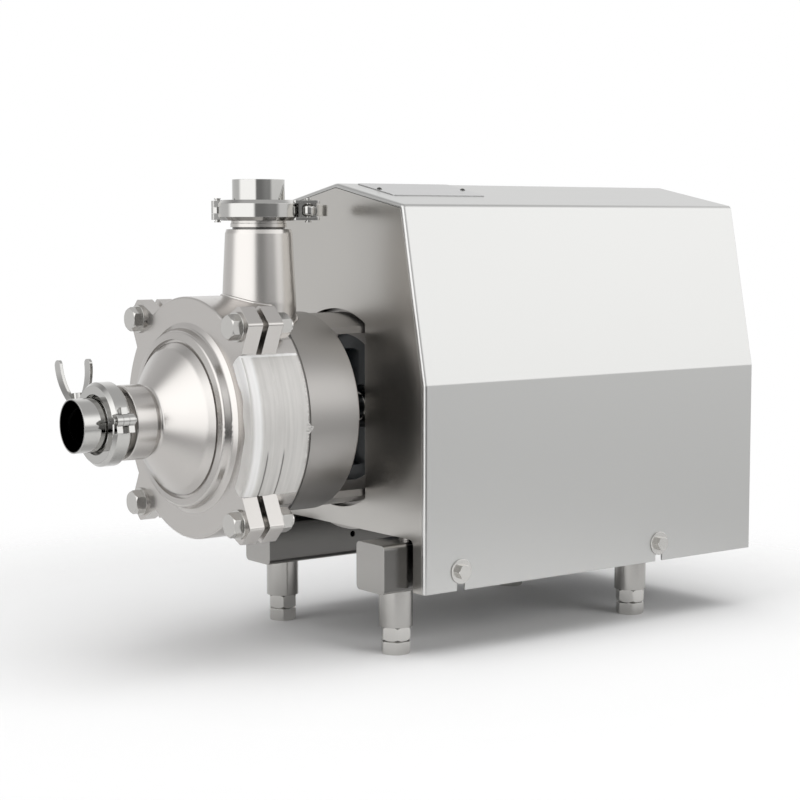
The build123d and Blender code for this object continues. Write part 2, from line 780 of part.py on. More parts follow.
def upper_half():
    """The clamp half with the middle knuckle and the slotted ear that the wing nut bears on."""
    body = clamp_ring(1)
    for low, high in ((-hinge_half - 0.2, -knuckle_half), (knuckle_half, hinge_half + 0.2)):
        body -= hinge_clearance(low, high)
    body += knuckle(-knuckle_half, knuckle_half, 1)
    top = swing_pin_y + seat_r
    ear = Pos(swing_pin_x - 2.5, (split_gap + top) / 2, 0) * Box(ear_length, top - split_gap, ear_width)
    ear &= swing_pin() * Cylinder(seat_r, cutter)
    ear -= Pos(swing_pin_x + cutter / 2 - m8_r - split_gap, top / 2, 0) * Box(
        cutter, 3 * top, 2 * (m8_r + split_gap))
    body += ear
    body -= Pos(-hinge_r, 0, 0) * Cylinder(pin_r, cutter)
    return body - Cylinder(ferrule_r + groove_floor_gap, 2 * hinge_slot)


def swing_pin():
    return Pos(swing_pin_x, swing_pin_y, 0)


def clamp_pins():
    """The hinge pin and the swing bolt's pin, each with a small head at both ends."""
    half = clamp_half_width + split_gap
    wider, height = pin_head
    pin = Pos(0, 0, -half) * rod(pin_r, 2 * half)
    pin += [Pos(0, 0, start) * rod(pin_r + wider, height) for start in (half, -half - height)]
    return [Pos(-hinge_r, 0, 0) * pin, swing_pin() * pin]


def swing_bolt():
    """Eye bolt that swings on the lower half's pin, at rest along local Y."""
    eye = Pos(0, 0, -eye_r) * rod(eye_r, 2 * eye_r)
    eye = fillet(eye.edges().filter_by(GeomType.CIRCLE), eye_round)
    shank = Rot(-90, 0, 0) * rod(m8_r, seat_r + bolt_reach)
    shank = chamfer(shank.edges().filter_by(GeomType.CIRCLE).group_by(Axis.Y)[-1], 1)
    return swing_pin() * (eye + shank - Cylinder(pin_r + running_gap, cutter))


def wing_nut(height, turn):
    """Wing nut with two upswept round-ended wings; its bore runs on the swing bolt."""
    bore = m8_r + running_gap
    hub = turned([(bore, 0), (nut_seat_r, 0), (nut_seat_r, nut_rim), (nut_top_r, nut_height),
                  (bore, nut_height)])
    outline = Plane.YZ * RectangleRounded(2 * wing_half_depth, 2 * height, 0.95 * wing_half_depth)
    blank = extrude(outline, 3 * wing_half_span, both=True)
    nut = hub
    for side in (-1, 1):
        curve = ThreePointArc((side * 5.5, nut_height / 2), (side * wing_half_span * 0.85, height * 0.52),
                              (side * wing_half_span, height))
        nut += extrude(Plane.XZ * trace(curve, wing_thickness), wing_half_depth, both=True) & blank
    nut -= Cylinder(bore, 2 * cutter)
    place = swing_pin() * Rot(-90, 0, 0) * Pos(0, 0, seat_r + running_gap)
    return place * Rot(0, 0, turn) * nut


# Rotating group

def vane():
    """One backward-curved vane in the XY plane, from the hub to the impeller's edge."""
    sweep = radians(vane_sweep)
    start = (impeller_hub_outline[-1][0], 0)
    path = ThreePointArc(start, vane_middle, (impeller_r * cos(sweep), impeller_r * sin(sweep)))
    return trace(path, vane_thickness)


def impeller():
    """Semi-open impeller: back shroud, hub and swept vanes under the cover."""
    depth = impeller_back_x - impeller_hub_x
    hub_r_front = impeller_hub_outline[-1][0]
    hub = turned([(0, 0)] + impeller_hub_outline + [(hub_r_front, depth), (0, depth)])
    outline = Sketch() + [Rot(0, 0, 360 * i / vane_count) * vane() for i in range(vane_count)]
    vanes = extrude(outline, depth - 2)
    envelope = turned([(0, 0), (impeller_r, 0), (impeller_r, impeller_edge_depth), (30, depth - 2),
                       (0, depth - 2)])
    rotor = hub + (vanes & envelope) + rod(impeller_r, shroud) - rod(impeller_bore_r, depth)
    return Pos(impeller_back_x, 0, axis_z) * Rot(0, -90, 0) * rotor


def impeller_nut():
    """Domed cap nut that holds the impeller."""
    nut = turned([(nose_r, 0)] + nose_nut + [(nose_r, nose_nut[-1][1])], [(2, 2)])
    return Pos(impeller_hub_x, 0, axis_z) * Rot(0, -90, 0) * nut


def pump_shaft():
    """Stub shaft: threaded nose, impeller seat, seal journal and sleeve over the motor shaft."""
    nose_x = impeller_hub_x - nose_length
    shoulder = impeller_back_x
    points = [(nose_x, 0), (nose_x, nose_r), (impeller_hub_x, nose_r), (impeller_hub_x, impeller_bore_r),
              (shoulder, impeller_bore_r), (shoulder, seal_shaft_r), (sleeve_slope[0], seal_shaft_r),
              (sleeve_slope[1], sleeve_outer_r), (sleeve_end_x, sleeve_outer_r),
              (sleeve_end_x, motor_shaft_r), (motor_shaft_x, motor_shaft_r), (motor_shaft_x, 0)]
    return turned_x(points)


def seal_seat():
    """Stationary seal ring seated in the back plate."""
    front = seat_x - seat_length
    inner = seal_shaft_r + seal_clearance
    return turned_x([(front, inner), (front, seal_bore_r - seat_step), (seat_x - seat_step, seal_bore_r),
                     (seat_x, seal_bore_r), (seat_x, inner)])


def seal_ring():
    """Rotating seal ring that runs against the seat."""
    rear = seat_x - seat_length - running_gap
    front = rear - seal_ring_length
    return turned_x([(front, seal_shaft_r), (front, seal_ring_outer_r), (rear, seal_ring_outer_r),
                     (rear, seal_shaft_r)])


def seal_bellows():
    """Rubber bellows that press the rotating ring onto the seat."""
    rear = seat_x - seat_length - running_gap - seal_ring_length
    front = rear - bellows_folds * bellows_pitch
    low, high = bellows_r
    inner = seal_shaft_r + running_gap
    points = [(rear, inner)]
    for fold in range(bellows_folds):
        start = rear - fold * bellows_pitch
        points += [(start, low), (start - bellows_pitch / 2, high)]
    return turned_x(points + [(front, low), (front, inner)])


# Lantern

def lantern_screw_places(x):
    """Where the lantern's four screws cross a plane, pointing towards +X."""
    return [Pos(x, y, axis_z + z) * Rot(0, 90, 0) for y in (-lantern_screw_y, lantern_screw_y)
            for z in (-lantern_screw_z, lantern_screw_z)]


def lantern():
    """Upper and lower bridges with front pads, and a rear ring for the motor flange."""
    depth = motor_face_x - casing_rear_x
    pads = ring(bridge_r, bridge_pad_r, bridge_pad)
    arcs = ring(bridge_r, bridge_r - bridge_thickness, depth)
    bridges = (pads + arcs) & Pos(0, 0, depth / 2) * Box(3 * bridge_r, 2 * bridge_half, depth)
    flange = Pos(0, 0, lantern_flange_x - casing_rear_x) * ring(
        motor_flange_r, lantern_bore_r, motor_face_x - lantern_flange_x)
    spigot = Pos(0, 0, depth - motor_spigot) * rod(motor_spigot_r, motor_spigot + 1)
    body = bridges + flange - spigot
    body = Pos(casing_rear_x, 0, axis_z) * along_x(body)
    hole = rod(m8_r + bolt_clearance, 2 * bridge_pad)
    holes = [place * hole for place in lantern_screw_places(casing_rear_x - 1)]
    flange_holes = [Pos(lantern_flange_x - 1, y, axis_z + z) * along_x(rod(m12_r, cutter))
                    for y, z in four_corners(flange_bolt_r / sqrt(2))]
    return body - holes - flange_holes


def lantern_screws():
    """Cap screws through the lantern's pads into the casing's rear wall."""
    half_flats, depth = socket
    key = extrude(RegularPolygon(half_flats, 6, major_radius=False), 2 * depth)
    head = rod(*socket_head) - Pos(0, 0, socket_head[1] - depth) * key
    screw = head + Pos(0, 0, -lantern_screw) * rod(m8_r, lantern_screw)
    return [place * screw for place in lantern_screw_places(casing_rear_x + bridge_pad)]


# Motor

def motor_shaft():
    points = [(motor_shaft_x, 0), (motor_shaft_x, motor_shaft_r), (motor_face_x + 4, motor_shaft_r),
              (motor_face_x + 4, bearing_bore_r), (frame_front_x, bearing_bore_r),
              (frame_front_x, shaft_step_r), (frame_rear_x, shaft_step_r), (frame_rear_x, bearing_bore_r),
              (rear_shield_x + 2, bearing_bore_r), (rear_shield_x + 2, shaft_end_r),
              (shaft_end_x, shaft_end_r), (shaft_end_x, 0)]
    return turned_x(points)


def front_shield():
    """Motor end shield with the mounting flange, its spigot and the front bearing bore."""
    rear = frame_front_x
    face = motor_face_x
    spigot = face - motor_spigot
    points = [(spigot, rear_shield_r), (spigot, motor_spigot_r), (face, motor_spigot_r),
              (face, motor_flange_r), (face + motor_flange, motor_flange_r),
              (face + motor_flange, frame_r + 4), (rear, frame_r), (rear, bearing_r),
              (rear - bearing_width, bearing_r),
              (rear - bearing_width, shaft_step_r + shield_clearance),
              (face + shield_dish, shaft_step_r + shield_clearance), (face + shield_dish, rear_shield_r)]
    body = turned_x(points)
    holes = [Pos(face - 1, y, axis_z + z) * along_x(rod(m12_r + bolt_clearance, cutter))
             for y, z in four_corners(flange_bolt_r / sqrt(2))]
    return body - holes


def rear_shield():
    start = frame_rear_x
    inner = shaft_step_r + shield_clearance
    points = [(start, frame_r), (start + cowl_spacer[0], frame_r), (rear_shield_x, rear_shield_r),
              (rear_shield_x, inner), (start + bearing_width, inner), (start + bearing_width, bearing_r),
              (start, bearing_r)]
    return turned_x(points)


def flange_bolts():
    depth = motor_face_x - lantern_flange_x
    return [Pos(motor_face_x + motor_flange, y, axis_z + z) * Rot(0, 90, 0) *
            bolt(m12_r, motor_flange + depth, m12_flats, m12_head)
            for y, z in four_corners(flange_bolt_r / sqrt(2))]


def bearing_places():
    return [frame_front_x - bearing_width, frame_rear_x]


def bearing_outer_rings():
    """Outer rings with their side shields; the balls run hidden between them."""
    inner = shaft_step_r + bolt_clearance
    groove = bearing_r - 4
    rings = []
    for x in bearing_places():
        end = x + bearing_width
        points = [(x, inner), (x, bearing_r), (end, bearing_r), (end, inner), (end - 1, inner),
                  (end - 1, groove), (x + 1, groove), (x + 1, inner)]
        rings.append(turned_x(points))
    return rings


def bearing_inner_rings():
    return [turned_x([(x, bearing_bore_r), (x, shaft_step_r), (x + bearing_width, shaft_step_r),
                      (x + bearing_width, bearing_bore_r)]) for x in bearing_places()]


def motor_housing():
    """Finned frame with two cast feet on each side and a seat for the terminal box."""
    length = frame_rear_x - frame_front_x
    tube = ring(frame_r, frame_r - frame_wall, length)
    fin = Pos((frame_r - 2 + fin_r) / 2, 0, length / 2) * Box(
        fin_r - frame_r + 2, fin_thickness, length - 2 * fin_end)
    angles = [360 / fin_count * (i + 0.5) for i in range(fin_count)]
    low, high = fin_angles
    fins = [Rot(0, 0, angle) * fin for angle in angles if low < abs(angle - 180) < high]
    body = Pos(frame_front_x, 0, axis_z) * along_x(tube + fins)
    for x in foot_hole_x:
        body += motor_feet(x)
    seat = box_block(box_seat_z - 2 * box_seat_rise, box_seat_z, 0)
    body += seat - Pos(0, 0, axis_z) * along_x(rod(frame_r - 1, frame_rear_x + cutter))
    return body


def motor_feet(x):
    """The pair of feet at one station, with their holes."""
    pair = []
    for side in (-1, 1):
        web = make_face(Polyline(*[(side * y, plate_top_z + z) for y, z in motor_foot], close=True))
        foot = Pos(x - foot_half, 0, 0) * extrude(Plane.YZ * web, 2 * foot_half)
        foot -= Pos(x, side * foot_hole_y, plate_top_z) * Cylinder(m10_r + bolt_clearance, cutter)
        foot -= Pos(x, side * foot_hole_y, plate_top_z + foot_thickness) * rod(foot_spot_r, cutter)
        pair.append(foot)
    return pair


def motor_bolts():
    length = foot_thickness + plate_top_z - rail_top_z + rail_wall
    return [Pos(x, side * foot_hole_y, plate_top_z + foot_thickness) * bolt(m10_r, length, m10_flats,
                                                                           m10_head)
            for x in foot_hole_x for side in (-1, 1)]


def stator():
    """Laminated core with the winding heads at both ends."""
    return turned_x(stator_outline)


def rotor_core():
    return turned_x(rotor_outline)


def fan():
    """Radial fan on the rear end of the motor shaft."""
    bore = shaft_end_r + running_gap
    width, thickness = fan_blade
    length = fan_r - fan_hub[0] + 2
    hub = ring(fan_hub[0], bore, fan_hub[1]) + ring(fan_r - length / 8, bore, fan_disc)
    blade = Pos(fan_r - length / 2, 0, 1 + width / 2) * Box(length, thickness, width)
    blades = [Rot(0, 0, 360 / fan_blades * i) * blade for i in range(fan_blades)]
    return Pos(fan_x, 0, axis_z) * along_x(hub + blades)


def fan_cowl():
    """Sheet cowl with radial air slots in its rear wall, held off the rear shield by spacers."""
    front = frame_rear_x + 1
    length = cowl_rear_x - front
    shell = rod(cowl_r, length)
    shell = fillet(shell.faces().sort_by(Axis.Z)[-1].edges(), cowl_bend)
    inside = Pos(0, 0, -1) * rod(cowl_r - cowl_wall, length + 1 - cowl_wall)
    inside = fillet(inside.faces().sort_by(Axis.Z)[-1].edges(), cowl_bend - cowl_wall)
    slots = Sketch() + [spot * SlotOverall(*cowl_slot) for spot in PolarLocations(cowl_slot_r, cowl_slots)]
    air = Pos(0, 0, length - 5) * extrude(slots, 10)
    depth, width = cowl_spacer
    reach = cowl_r - cowl_wall / 2 - frame_r
    spacers = [Rot(0, 0, 45 + 90 * i) * Pos(frame_r + reach / 2, 0, depth / 2 - 0.5) *
               Box(reach, width, depth - 1) & rod(cowl_r - cowl_wall / 2, length) for i in range(4)]
    return Pos(front, 0, axis_z) * along_x(shell - inside - air + spacers)


def box_block(low, high, inset):
    """A rectangular block over the terminal box's outline, drawn in by the inset."""
    return Pos(box_middle, 0, (low + high) / 2) * Box(
        box_x[1] - box_x[0] - 2 * inset, 2 * (box_half - inset), high - low)


def terminal_box():
    """Open cast box on top of the motor."""
    block = box_block(box_seat_z, box_top_z, 0)
    block = fillet(block.edges().filter_by(Axis.Z), box_corner)
    inside = box_block(box_seat_z + box_wall, box_top_z + box_wall, box_wall)
    hole = Pos(box_middle, box_half, (box_seat_z + box_top_z) / 2) * Rot(90, 0, 0) * Cylinder(
        gland_r, 3 * box_wall)
    return block - inside - hole


def terminal_box_lid():
    lid = box_block(box_top_z, box_top_z + lid_thickness, 0)
    lid = fillet(lid.edges().filter_by(Axis.Z), box_corner)
    return chamfer(lid.faces().sort_by(Axis.Z)[-1].edges(), lid_chamfer)


def cable_gland():
    """Empty cable gland on the terminal box's far side."""
    body = hexagon(gland_flats, box_corner) + Pos(0, 0, box_corner) * turned(gland_cap)
    body += Pos(0, 0, -box_wall) * rod(gland_r - running_gap, box_wall)
    body -= Pos(0, 0, -box_wall - 1) * rod(gland_bore_r, cutter)
    return Pos(box_middle, box_half, (box_seat_z + box_top_z) / 2) * Rot(-90, 0, 0) * body


def clamp_nodes(name, frame, nut):
    """The five nodes of one clamp, placed on its joint."""
    return {
        name + "_clamp_fork_half": frame * lower_half(),
        name + "_clamp_ear_half": frame * upper_half(),
        name + "_clamp_pins": [frame * pin for pin in clamp_pins()],
        name + "_clamp_swing_bolt": frame * swing_bolt(),
        name + "_clamp_wing_nut": frame * nut,
    }


def build():
    nodes = {
        "side_rails": side_rails(),
        "foot_sleeves": foot_sleeves(),
        "hood_bosses": hood_bosses(),
        "mounting_plates": mounting_plates(),
        "foot_lock_nuts": foot_lock_nuts(),
        "hood": hood(),
        "rear_panel": rear_panel(),
        "front_panel": front_panel(),
        "nameplate": nameplate(),
        "nameplate_rivets": nameplate_rivets(),
        "hood_bolts": hood_bolts(),
        "hood_washers": hood_washers(),
        "cover": cover(),
        "cover_seal_ring": cover_seal_ring(),
        "cover_bolts": cover_bolts(),
        "cover_washers": cover_washers(),
        "cover_nuts": cover_nuts(),
        "casing": casing(),
        "back_plate": back_plate(),
        "lantern": lantern(),
        "lantern_screws": lantern_screws(),
        "impeller": impeller(),
        "impeller_nut": impeller_nut(),
        "pump_shaft": pump_shaft(),
        "seal_seat": seal_seat(),
        "seal_ring": seal_ring(),
        "seal_bellows": seal_bellows(),
        "motor_housing": motor_housing(),
        "front_shield": front_shield(),
        "rear_shield": rear_shield(),
        "flange_bolts": flange_bolts(),
        "motor_bolts": motor_bolts(),
        "stator": stator(),
        "rotor_core": rotor_core(),
        "motor_shaft": motor_shaft(),
        "bearing_outer_rings": bearing_outer_rings(),
        "bearing_inner_rings": bearing_inner_rings(),
        "fan": fan(),
        "fan_cowl": fan_cowl(),
        "terminal_box": terminal_box(),
        "terminal_box_lid": terminal_box_lid(),
        "panel_screws": panel_screws(),
        "cable_gland": cable_gland(),
        "suction_stub": Pos(suction_joint_x - gasket / 2, 0, axis_z) * Rot(0, -90, 0) * stub(suction_stub),
        "discharge_stub": discharge_place() * Pos(0, 0, discharge_joint_z + gasket / 2) * stub(
            discharge_stub),
        "port_gaskets": [suction_frame() * port_gasket(), discharge_frame() * port_gasket()],
    }
    corners = {"front_near": (0.0, -rail_y), "front_far": (0.0, rail_y),
               "rear_near": (foot_spacing, -rail_y), "rear_far": (foot_spacing, rail_y)}
    for name, (x, y) in corners.items():
        nodes["foot_" + name] = foot_spindle(x, y)
    nodes.update(clamp_nodes("suction", suction_frame(), wing_nut(suction_wing_height, 90)))
    nodes.update(clamp_nodes("discharge", discharge_frame(), wing_nut(discharge_wing_height, 0)))
    return nodes


def solids_of(shape):
    """Every solid of a shape or of a list of shapes."""
    if isinstance(shape, (list, tuple)):
        return [solid for item in shape for solid in solids_of(item)]
    return list(shape.solids())


if __name__ == "__main__":
    os.makedirs("parts", exist_ok=True)
    for node, shape in build().items():
        moved = [Pos(origin_shift, 0, 0) * solid for solid in solids_of(shape)]
        export_step(Compound(children=moved) if len(moved) > 1 else moved[0], f"parts/{node}.step")
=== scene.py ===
import json
import math

import bmesh
import bpy
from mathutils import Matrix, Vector, noise


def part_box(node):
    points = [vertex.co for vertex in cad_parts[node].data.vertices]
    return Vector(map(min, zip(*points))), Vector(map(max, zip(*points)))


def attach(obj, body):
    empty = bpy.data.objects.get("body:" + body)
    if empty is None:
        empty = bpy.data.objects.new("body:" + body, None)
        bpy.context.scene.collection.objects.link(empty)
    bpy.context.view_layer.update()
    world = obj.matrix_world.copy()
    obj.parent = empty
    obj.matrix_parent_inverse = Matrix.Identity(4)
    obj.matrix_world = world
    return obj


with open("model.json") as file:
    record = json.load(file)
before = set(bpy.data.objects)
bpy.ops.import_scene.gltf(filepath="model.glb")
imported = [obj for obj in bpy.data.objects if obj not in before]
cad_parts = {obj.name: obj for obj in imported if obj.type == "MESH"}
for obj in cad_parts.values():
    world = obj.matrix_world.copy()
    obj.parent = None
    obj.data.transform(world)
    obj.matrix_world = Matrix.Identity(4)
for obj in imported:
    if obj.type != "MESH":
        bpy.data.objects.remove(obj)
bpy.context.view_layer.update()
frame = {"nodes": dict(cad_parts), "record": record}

nodes = frame["nodes"]
scene = bpy.context.scene

# Places read from the frame, in metres
AXIS_Z = 0.235
COVER_JOINT_X = (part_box("cover")[1].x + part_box("casing")[0].x) / 2
COVER_FACE_X = COVER_JOINT_X - 0.019
RIM_REAR_X = COVER_JOINT_X + 0.048
RIM_R = 0.117
REAR_CHAMBER_R = 0.099
STUB_BORE = 0.0243
PIPE_PLACE = (-0.1765, -0.010)
PIPE_FOOT_R = 0.0364
PIPE_GROOVE_Z = (0.4158, 0.4182)

# Protective film: the half angle that it covers, its mesh, its top edge and its fold lines
FILM_ANGLE = math.radians(34.0)
FILM_ROWS = 160
FILM_COLUMNS = 110
FILM_TOP_Z = AXIS_Z + RIM_R * math.sin(FILM_ANGLE)
FILM_FOLDS = (COVER_JOINT_X - 0.002, COVER_JOINT_X + 0.016)

# Camera, fitted to the photograph
CAMERA_PLACE = Vector((-1.1771, -1.5665, 0.4234))
CAMERA_YAW = math.radians(53.0)
CAMERA_PITCH = math.radians(5.4)
CAMERA_LENS = 84.93
SENSOR = 36.0


def add_camera():
    flat = math.cos(CAMERA_PITCH)
    look = Vector((math.cos(CAMERA_YAW) * flat, math.sin(CAMERA_YAW) * flat, -math.sin(CAMERA_PITCH)))
    data = bpy.data.cameras.new("camera")
    data.sensor_width = SENSOR
    data.lens = CAMERA_LENS
    data.clip_end = 50.0
    camera = bpy.data.objects.new("camera", data)
    camera.location = CAMERA_PLACE
    camera.rotation_euler = look.to_track_quat("-Z", "Y").to_euler()
    scene.collection.objects.link(camera)
    scene.camera = camera


# Node helpers

class Tree:
    """A node tree with short calls for the few nodes that this scene uses."""

    def __init__(self, tree):
        self.tree = tree
        tree.nodes.clear()

    def add(self, kind, inputs=None, **settings):
        node = self.tree.nodes.new(kind)
        for name, value in settings.items():
            setattr(node, name, value)
        for name, value in (inputs or {}).items():
            self.put(node.inputs[name], value)
        return node

    def put(self, socket, value):
        if isinstance(value, bpy.types.NodeSocket):
            self.tree.links.new(value, socket)
        else:
            socket.default_value = value

    def math(self, operation, a, b=0.0, c=0.0, clamp=False):
        node = self.add("ShaderNodeMath", {0: a, 1: b, 2: c}, operation=operation, use_clamp=clamp)
        return node.outputs[0]

    def ramp(self, value, low, high, start=0.0, end=1.0, smooth=True):
        kind = "SMOOTHSTEP" if smooth else "LINEAR"
        node = self.add("ShaderNodeMapRange", {"Value": value, "From Min": low, "From Max": high,
                                               "To Min": start, "To Max": end}, interpolation_type=kind)
        return node.outputs[0]

    def product(self, first, *others):
        for other in others:
            first = self.math("MULTIPLY", first, other)
        return first

    def dot(self, vector, direction):
        node = self.add("ShaderNodeVectorMath", {0: vector, 1: direction}, operation="DOT_PRODUCT")
        return node.outputs["Value"]

    def stretched(self, scales):
        """Object coordinates, scaled differently along each axis."""
        place = self.add("ShaderNodeTexCoord").outputs["Object"]
        return self.add("ShaderNodeMapping", {"Vector": place, "Scale": scales}).outputs[0]

    def pipe_radius(self):
        """Distance from the discharge pipe's axis."""
        place = self.add("ShaderNodeTexCoord").outputs["Object"]
        axis = self.add("ShaderNodeVectorMath", {0: place, 1: (*PIPE_PLACE, 0)}, operation="SUBTRACT").outputs[0]
        across = self.add("ShaderNodeVectorMath", {0: axis, 1: (1, 1, 0)}, operation="MULTIPLY").outputs[0]
        return self.add("ShaderNodeVectorMath", {0: across}, operation="LENGTH").outputs["Value"]

    def axis_radius(self):
        """Distance from the pump's axis."""
        place = self.add("ShaderNodeTexCoord").outputs["Object"]
        axis = self.add("ShaderNodeVectorMath", {0: place, 1: (0, 0, -AXIS_Z)}, operation="ADD").outputs[0]
        across = self.add("ShaderNodeVectorMath", {0: axis, 1: (0, 1, 1)}, operation="MULTIPLY").outputs[0]
        return self.add("ShaderNodeVectorMath", {0: across}, operation="LENGTH").outputs["Value"]

    def noise(self, vector, scale, detail=3.0, rough=0.5):
        node = self.add("ShaderNodeTexNoise", {"Vector": vector, "Scale": scale, "Detail": detail,
                                               "Roughness": rough})
        return node.outputs[0]

    def tint(self, factor, first, second):
        node = self.add("ShaderNodeMix", data_type="RGBA")
        self.put(node.inputs[0], factor)
        for socket, colour in ((6, first), (7, second)):
            self.put(node.inputs[socket], (*colour, 1.0) if isinstance(colour, tuple) else colour)
        return node.outputs[2]


def new_material(name):
    material = bpy.data.materials.new(name)
    material.use_nodes = True
    tree = Tree(material.node_tree)
    shader = tree.add("ShaderNodeBsdfPrincipled")
    output = tree.add("ShaderNodeOutputMaterial")
    tree.tree.links.new(shader.outputs[0], output.inputs[0])
    return material, tree, shader


def scaled(colour, share):
    return tuple(channel * share for channel in colour)


def metal(name, colour, rough, spread, stretch, bump=0.05, cloud=0.06, cloud_scale=9.0, edge=0.0006,
          bore_shade=0.0, rear_shade_and_rough=False, shaded_sides=False):
    """Stainless steel: fine streaks in one direction, soft clouds, and edges that catch the light.

    Inside the bore_shade radius round the pump's axis the surface is painted nearly black, a painted shade
    for the inside of the bore. With rear_shade_and_rough a painted shadow darkens the rear corner of the
    casing's rim and the groove round the discharge pipe, and the rear chamber gets a painted shade and is
    rougher. With shaded_sides the faces along the machine's near and far sides get a painted shade.
    """
    material, tree, shader = new_material(name)
    fine = tree.noise(tree.stretched(stretch), 1.0, 2.0, 0.6)
    clouds = tree.noise(tree.add("ShaderNodeTexCoord").outputs["Object"], cloud_scale, 3.0, 0.55)
    tone = tree.math("ADD", tree.math("MULTIPLY", fine, 0.5), tree.math("MULTIPLY", clouds, 0.5))
    shader.inputs["Metallic"].default_value = 1.0
    tinted = tree.tint(tone, scaled(colour, 1 - cloud), scaled(colour, 1 + cloud))
    # Painted shade: inside the stub's bore the surface is painted nearly black for the shade that falls there.
    if bore_shade:
        outside = tree.ramp(tree.axis_radius(), bore_shade, bore_shade + 0.0004)
        tinted = tree.tint(outside, (0.012, 0.012, 0.012), tinted)
    roughness = tree.ramp(tone, 0.2, 0.8, rough - spread, rough + spread)
    # Painted shade: the rear chamber is painted darker, and a painted shadow darkens the step at the rim's rear
    # corner and the groove round the discharge pipe; the chamber is also made rougher.
    if rear_shade_and_rough:
        radius = tree.axis_radius()
        along_x = tree.dot(tree.add("ShaderNodeTexCoord").outputs["Object"], (1, 0, 0))
        chamber = tree.product(tree.ramp(along_x, RIM_REAR_X - 0.001, RIM_REAR_X + 0.001),
                               tree.ramp(radius, REAR_CHAMBER_R + 0.0030, REAR_CHAMBER_R + 0.0008))
        corner = tree.product(tree.ramp(along_x, RIM_REAR_X - 0.0056, RIM_REAR_X - 0.0040),
                              tree.ramp(along_x, RIM_REAR_X + 0.0006, RIM_REAR_X + 0.0002),
                              tree.ramp(radius, 0.1138, 0.1150), tree.ramp(radius, 0.1176, 0.1172))
        height = tree.dot(tree.add("ShaderNodeTexCoord").outputs["Object"], (0, 0, 1))
        groove = tree.product(tree.ramp(tree.pipe_radius(), 0.0275, 0.0268),
                              tree.ramp(height, PIPE_GROOVE_Z[0] - 0.0003, PIPE_GROOVE_Z[0]),
                              tree.ramp(height, PIPE_GROOVE_Z[1] + 0.0003, PIPE_GROOVE_Z[1]))
        corner = tree.math("ADD", corner, groove, clamp=True)
        tinted = tree.tint(chamber, tinted, scaled(colour, 0.68))
        tinted = tree.tint(corner, tinted, scaled(colour, 0.22))
        roughness = tree.math("ADD", roughness, tree.math("MULTIPLY", chamber, 0.10))
    # Painted shade: faces turned to the machine's near and far sides are painted darker.
    if shaded_sides:
        across = tree.dot(tree.add("ShaderNodeNewGeometry").outputs["Normal"], (0, 1, 0))
        sideways = tree.ramp(tree.math("ABSOLUTE", across), 0.75, 0.95)
        tinted = tree.tint(sideways, tinted, scaled(colour, 0.36))
    tree.put(shader.inputs["Base Color"], tinted)
    tree.put(shader.inputs["Roughness"], roughness)
    bevel = tree.add("ShaderNodeBevel", {"Radius": edge}, samples=4)
    relief = tree.add("ShaderNodeBump", {"Strength": bump, "Distance": 0.0002, "Height": fine,
                                         "Normal": bevel.outputs[0]})
    tree.put(shader.inputs["Normal"], relief.outputs[0])
    return material


def plain(name, colour, rough, grain=0.15, scale=700.0, metallic=0.0, coat=0.0):
    """Paint, rubber, plastic and the like: a fine grain in colour, gloss and surface."""
    material, tree, shader = new_material(name)
    grains = tree.noise(tree.add("ShaderNodeTexCoord").outputs["Object"], scale, 3.0, 0.6)
    shader.inputs["Metallic"].default_value = metallic
    shader.inputs["Coat Weight"].default_value = coat
    tree.put(shader.inputs["Base Color"], tree.tint(grains, scaled(colour, 1 - grain), scaled(colour, 1 + grain)))
    tree.put(shader.inputs["Roughness"], tree.ramp(grains, 0.2, 0.8, rough * 0.85, rough * 1.15))
    relief = tree.add("ShaderNodeBump", {"Strength": 0.2, "Distance": 0.0002, "Height": grains})
    tree.put(shader.inputs["Normal"], relief.outputs[0])
    return material


def make_materials():
    steel = (0.57, 0.565, 0.55)
    warm = (0.575, 0.555, 0.535)
    return {
        "brushed_hood": metal("brushed_hood", (0.57, 0.57, 0.56), 0.29, 0.008, (12, 420, 420), 0.0, 0.008),
        "brushed_panel": metal("brushed_panel", (0.57, 0.555, 0.53), 0.29, 0.008, (420, 420, 12), 0.0, 0.008),
        "brushed_frame": metal("brushed_frame", (0.42, 0.41, 0.395), 0.20, 0.03, (40, 900, 900), 0.01, 0.03),
        "rail_metal": metal("rail_metal", (0.40, 0.39, 0.375), 0.22, 0.03, (40, 900, 900), 0.01, 0.03,
                            shaded_sides=True),
        "rivet_metal": metal("rivet_metal", (0.10, 0.10, 0.095), 0.35, 0.04, (900, 900, 900), 0.01, 0.03),
        "satin_casing": metal("satin_casing", warm, 0.25, 0.02, (1300, 1300, 1300), 0.006, 0.02, rear_shade_and_rough=True),
        "cast_lantern": metal("cast_lantern", scaled(warm, 0.8), 0.42, 0.06, (260, 260, 260), 0.25),
        "polished_steel": metal("polished_steel", (0.52, 0.515, 0.50), 0.08, 0.03, (300, 300, 300), 0.004, 0.02,
                                bore_shade=STUB_BORE),
        "turned_steel": metal("turned_steel", steel, 0.22, 0.05, (900, 30, 30)),
        "bright_fastener": metal("bright_fastener", (0.60, 0.59, 0.57), 0.20, 0.04, (900, 900, 900), 0.01, 0.03),
        "plate": metal("plate", (0.56, 0.56, 0.56), 0.32, 0.04, (8, 1100, 1100), 0.02, 0.02),
        "motor_paint": plain("motor_paint", (0.045, 0.06, 0.075), 0.38, coat=0.15),
        "lamination": plain("lamination", (0.10, 0.09, 0.085), 0.5, metallic=0.6),
        "seal_rubber": plain("seal_rubber", (0.02, 0.02, 0.02), 0.55),
        "seal_carbide": plain("seal_carbide", (0.04, 0.04, 0.045), 0.2),
        "gasket_white": plain("gasket_white", (0.72, 0.72, 0.70), 0.45),
        "black_plastic": plain("black_plastic", (0.02, 0.02, 0.02), 0.42),
        "weld": metal("weld", scaled(warm, 1.05), 0.20, 0.05, (500, 500, 500), 0.5),
        "film": film_material(),
    }


